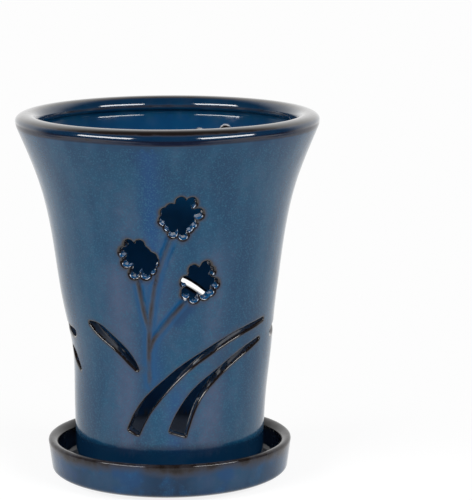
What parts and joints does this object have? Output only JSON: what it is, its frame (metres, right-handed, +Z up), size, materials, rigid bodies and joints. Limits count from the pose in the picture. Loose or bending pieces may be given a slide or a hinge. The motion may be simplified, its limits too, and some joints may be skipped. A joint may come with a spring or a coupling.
{
  "type": "orchid pot",
  "caption": "Flared glazed ceramic orchid pot with flower holes and leaf slots cut through its wall for air, standing loose in a round saucer that catches drained water.",
  "frame": {"origin": "centre of the saucer's underside, on the surface that the pot and saucer stand on", "axes": "+Z up along the pot's axis of turning; the flower spray that faces the viewer is on the -Y side; +X to that viewer's right"},
  "size_m": [0.155, 0.155, 0.19],
  "materials": {
    "pot_glaze": "gloss",
    "saucer_glaze": "gloss"
  },
  "bodies": {
    "saucer": {"saucer": "saucer_glaze"},
    "pot": {"pot": "pot_glaze"}
  },
  "joints": [
    {"name": "pot_lift", "type": "slide", "parent": "saucer", "child": "pot", "axis": [0, 0, 1], "range_m": [0, 0.06]}
  ]
}
